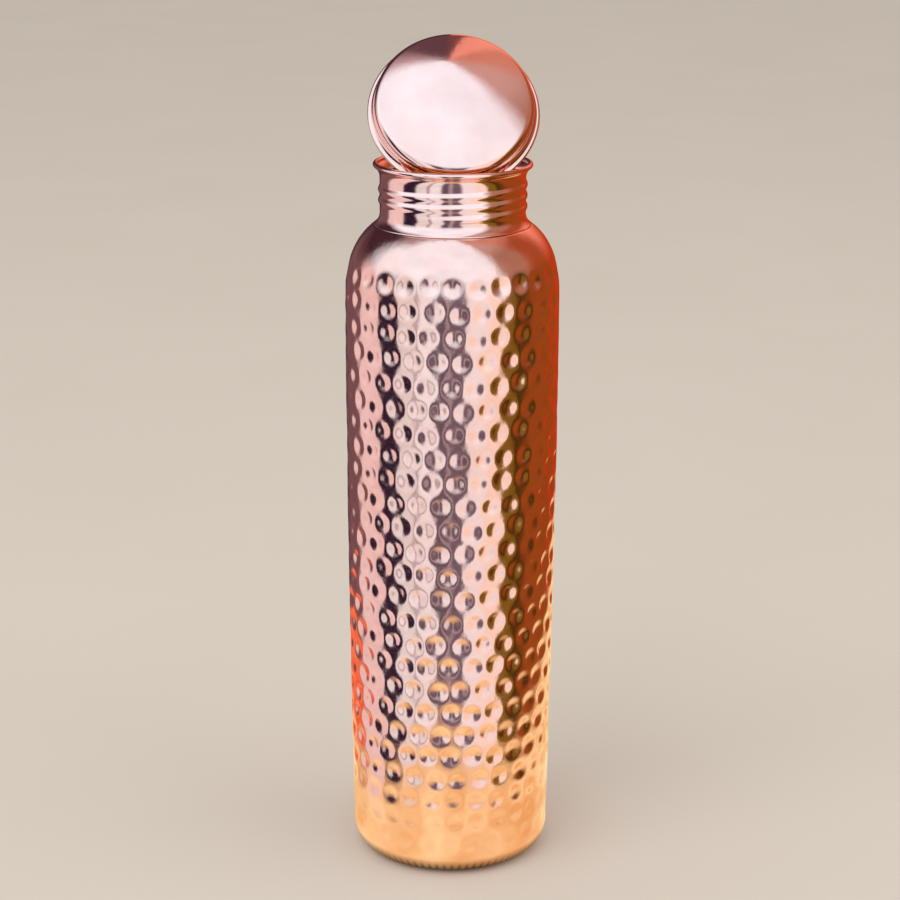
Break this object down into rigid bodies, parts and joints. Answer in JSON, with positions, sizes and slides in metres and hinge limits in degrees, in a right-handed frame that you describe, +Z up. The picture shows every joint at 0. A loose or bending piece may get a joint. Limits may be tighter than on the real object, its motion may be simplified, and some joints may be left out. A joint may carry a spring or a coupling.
{
  "type": "copper water bottle",
  "caption": "Tall hammered copper water bottle with a threaded neck, flared lip and a domed screw cap leaning unscrewed in the mouth.",
  "frame": {"origin": "centre of the foot, on the surface the bottle stands on", "axes": "+Z up along the bottle's axis, -Y towards the front, where the dome of the leaning cap faces; +X to the right seen from the front"},
  "size_m": [0.0732, 0.0732, 0.2894],
  "materials": {
    "hammered_copper": "hand-hammered, polished and lacquered copper",
    "polished_copper": "smooth polished copper with fine turning lines",
    "spun_copper": "plain spun copper, slightly dulled",
    "silicone": "matte translucent white silicone"
  },
  "bodies": {
    "bottle": {"body_shell": "hammered_copper", "neck_collar": "polished_copper", "base_disc": "spun_copper"},
    "seal": {"cap_seal": "silicone"},
    "cap": {"cap_shell": "polished_copper", "cap_plug": "spun_copper"}
  },
  "joints": [
    {"name": "cap_lift", "type": "slide", "parent": "bottle", "child": "seal", "axis": [0, 0, 1], "range_m": [0, 0.08]},
    {"name": "cap_turn", "type": "hinge", "parent": "seal", "child": "cap", "pos_m": [0.00015, -0.0014, 0.2642], "axis": [0.0345, -0.7894, 0.6129], "continuous": true}
  ]
}
